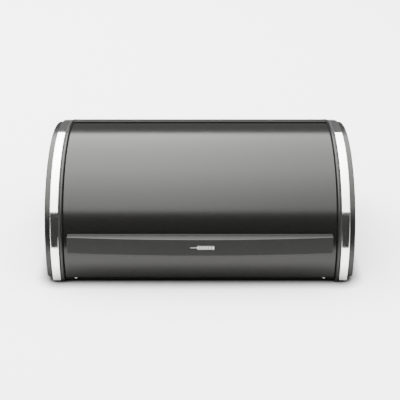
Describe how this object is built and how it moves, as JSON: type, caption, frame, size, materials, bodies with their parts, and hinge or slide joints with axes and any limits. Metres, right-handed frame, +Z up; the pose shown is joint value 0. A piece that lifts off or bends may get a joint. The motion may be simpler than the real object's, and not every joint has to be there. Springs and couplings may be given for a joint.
{
  "type": "bread box with roll top",
  "caption": "Bread box whose curved lid swings on side arms and rolls back under the rear shell; full-width handle, polished end bands, flat base on rubber feet.",
  "frame": {"origin": "middle of the outer box in plan, at table level under the rubber feet", "axes": "+X along the width to the viewer's right, -Y out of the front where the lid is, +Y towards the flat back, +Z up"},
  "size_m": [0.465, 0.267, 0.181],
  "materials": {
    "lid_steel": "satin metallic coating",
    "coated_steel": "satin metallic coating",
    "handle_metal": "satin metallic coating",
    "bead_metal": "satin coating",
    "cap_metal": "satin metallic coating",
    "polished_steel": "polished",
    "mark_metal": "satin",
    "zinc_steel": "zinc plated",
    "panel_plastic": "moulded",
    "nylon": "moulded",
    "rubber": "moulded",
    "silicone": "clear moulded"
  },
  "bodies": {
    "body": {"rear_shell": "coated_steel", "base_tray": "coated_steel", "front_sill": "coated_steel", "base_screws": "zinc_steel", "rubber_feet": "rubber", "lid_bumpers": "silicone", "opening_stops": "rubber", "side_panel_left": "panel_plastic", "side_panel_right": "panel_plastic", "bead_ring_left": "bead_metal", "bead_ring_right": "bead_metal", "polished_band_left": "polished_steel", "polished_band_right": "polished_steel", "end_cap_left": "cap_metal", "end_cap_right": "cap_metal", "cap_screws_left": "zinc_steel", "cap_screws_right": "zinc_steel", "pivot_bush_left": "nylon", "pivot_bush_right": "nylon"},
    "lid": {"lid_sheet": "lid_steel", "lower_rail": "coated_steel", "rear_seal": "rubber", "lid_rib_left": "zinc_steel", "lid_rib_right": "zinc_steel", "lid_arm_left": "zinc_steel", "lid_arm_right": "zinc_steel", "arm_rivets_left": "zinc_steel", "arm_rivets_right": "zinc_steel", "pivot_pin_left": "zinc_steel", "pivot_pin_right": "zinc_steel", "pin_clip_left": "zinc_steel", "pin_clip_right": "zinc_steel", "handle": "handle_metal", "handle_screws": "zinc_steel", "handle_mark": "mark_metal"}
  },
  "joints": [
    {"name": "lid_roll", "type": "hinge", "parent": "body", "child": "lid", "pos_m": [0, -0.03351, 0.054], "axis": [-1, 0, 0], "range_deg": [0, 62]}
  ]
}
